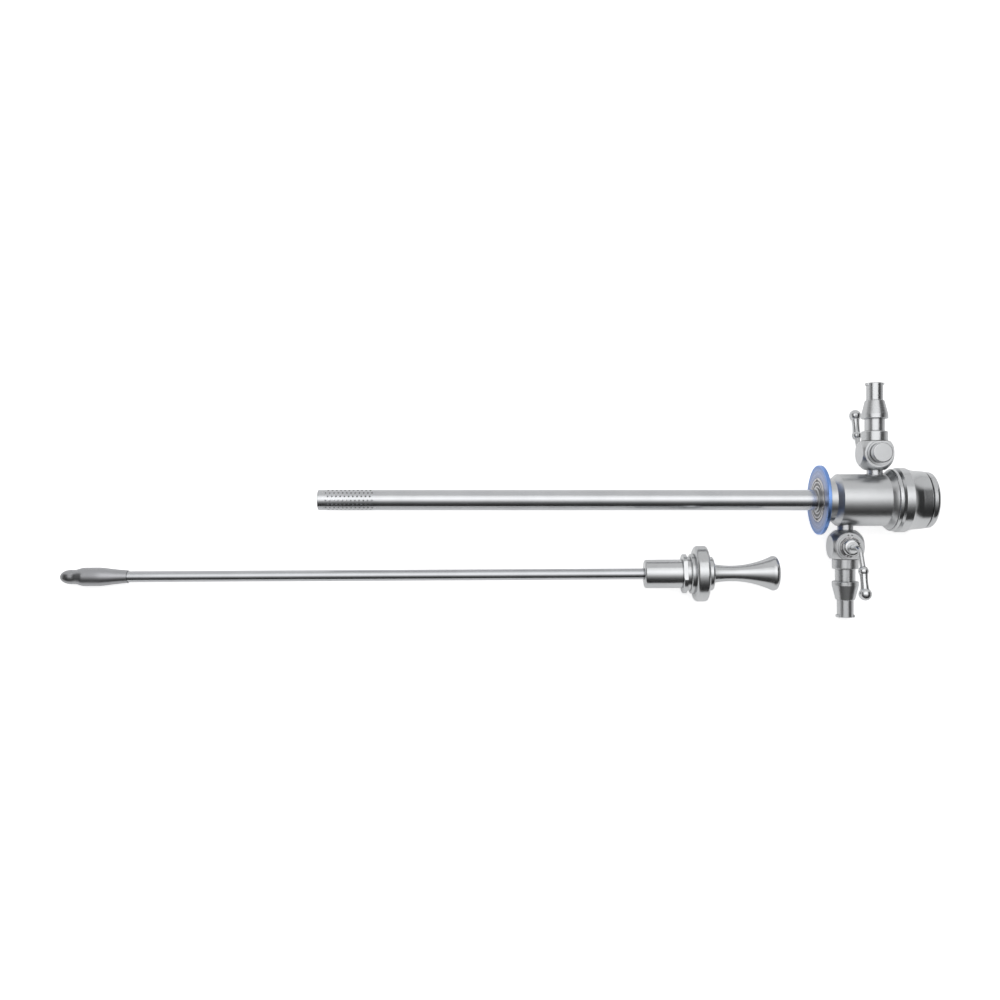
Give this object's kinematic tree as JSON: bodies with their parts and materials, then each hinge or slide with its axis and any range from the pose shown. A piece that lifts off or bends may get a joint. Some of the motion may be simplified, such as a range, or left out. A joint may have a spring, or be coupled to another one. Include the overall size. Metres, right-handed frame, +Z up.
{
  "type": "endoscope sheath with obturator",
  "caption": "Rigid endoscope sheath with perforated tube, colour ring, stopcocks with levers and bayonet locking ring, and its round-nosed obturator lying beside it.",
  "frame": {"origin": "centre of the rear face, where the instrument goes in", "axes": "+X along the tube towards the rear, +Y towards the upper stopcock, +Z up from the table that sheath and obturator lie on"},
  "size_m": [0.3641, 0.096, 0.031],
  "materials": {
    "tube_steel": "fine ground stainless steel",
    "satin_steel": "satin turned stainless steel",
    "polished_steel": "polished stainless steel",
    "blue_ring": "blue anodised",
    "seal_rubber": "smooth silicone rubber"
  },
  "bodies": {
    "sheath": {"outer_tube": "tube_steel", "perforated_tip": "tube_steel", "tube_ferrule": "satin_steel", "size_ring": "blue_ring", "ring_nut": "satin_steel", "housing_body": "satin_steel", "seat_gasket": "seal_rubber", "stop_pin": "satin_steel", "lock_circlip": "satin_steel", "upper_inlet_stub": "satin_steel", "upper_valve_body": "satin_steel", "upper_outlet_nipple": "polished_steel", "upper_wear_washer": "satin_steel", "lower_inlet_stub": "satin_steel", "lower_valve_body": "satin_steel", "lower_outlet_nipple": "polished_steel", "lower_wear_washer": "satin_steel"},
    "lock": {"lock_ring": "satin_steel", "bayonet_plate": "satin_steel", "lock_end_cap": "satin_steel"},
    "upper_lever": {"upper_valve_plug": "satin_steel", "upper_spring_washer": "satin_steel", "upper_cap_nut": "polished_steel", "upper_valve_lever": "polished_steel"},
    "lower_lever": {"lower_valve_plug": "satin_steel", "lower_spring_washer": "satin_steel", "lower_cap_nut": "polished_steel", "lower_valve_lever": "polished_steel"},
    "obturator": {"obturator_tip": "polished_steel", "obturator_rod": "polished_steel", "obturator_hub": "polished_steel", "obturator_flange": "satin_steel", "grip_disc": "polished_steel", "knob_nut": "polished_steel", "obturator_knob": "polished_steel"}
  },
  "joints": [
    {"name": "lock_turn", "type": "hinge", "parent": "sheath", "child": "lock", "pos_m": [0, 0, 0], "axis": [1, 0, 0], "range_deg": [0, 45]},
    {"name": "upper_lever_turn", "type": "hinge", "parent": "sheath", "child": "upper_lever", "pos_m": [-0.02307, 0.01878, 0.00487], "axis": [0, 0.2511, -0.968], "range_deg": [0, 90]},
    {"name": "lower_lever_turn", "type": "hinge", "parent": "sheath", "child": "lower_lever", "pos_m": [-0.03533, -0.01878, -0.00487], "axis": [0, -0.2511, 0.968], "range_deg": [0, 90]},
    {"name": "obturator_lift", "type": "slide", "parent": "sheath", "child": "obturator", "axis": [0, 0, 1], "range_m": [0, 0.06]}
  ]
}
